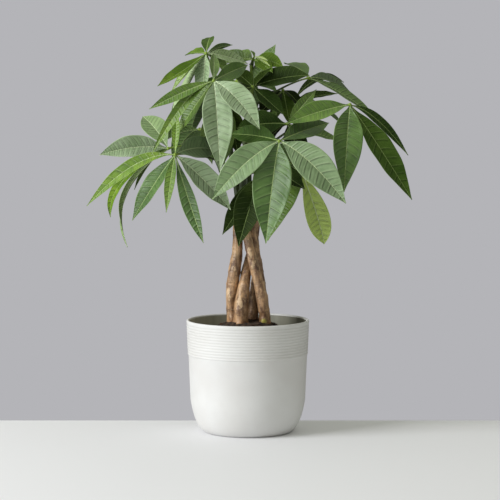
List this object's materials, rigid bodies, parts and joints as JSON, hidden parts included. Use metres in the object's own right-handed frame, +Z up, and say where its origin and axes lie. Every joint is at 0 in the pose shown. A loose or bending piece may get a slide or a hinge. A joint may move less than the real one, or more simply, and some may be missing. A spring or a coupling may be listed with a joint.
{
  "type": "potted money tree",
  "caption": "Houseplant with braided woody stems and a loose crown of drooping, hand-shaped leaves, growing in soil in a round white ceramic pot with a finely ribbed band.",
  "frame": {"origin": "centre of the pot's flat underside, on the surface it stands on", "axes": "+Z up along the pot's axis, -Y towards the front of the plant, +X to the front view's right"},
  "size_m": [0.386, 0.2931, 0.4819],
  "materials": {
    "ceramic": "matte white glaze",
    "soil": "rough, crumbly",
    "bark": "matte bark",
    "green_stem": "satin, green",
    "leaf": "satin, veined",
    "young_leaf": "satin, yellow-green"
  },
  "bodies": {
    "root": {"pot": "ceramic", "soil": "soil", "stem_left": "bark", "stem_front": "bark", "stem_right": "bark", "stem_rightRear": "bark", "stem_rear": "bark", "shoot_left": "green_stem", "shoot_front": "green_stem", "shoot_right": "green_stem", "shoot_rightRear": "green_stem", "shoot_rear": "green_stem", "leaf_top_left": "leaf", "leaf_front_left_high": "leaf", "leaf_front": "leaf", "leaf_right": "leaf", "leaf_left_low": "leaf", "leaf_left_rear": "leaf", "leaf_top_centre": "leaf", "leaf_right_inner": "leaf", "leaf_right_top": "leaf", "leaf_right_rear": "leaf", "leaf_middle": "leaf", "leaf_front_low": "leaf", "leaf_right_hanging": "leaf", "leaf_middle_left": "leaf", "leaf_top": "leaf", "leaf_rear_left_high": "leaf", "leaf_rear_high": "leaf", "leaf_rear_left_low": "leaf", "leaf_rear_low": "leaf", "leaf_young": "young_leaf"}
  },
  "joints": []
}
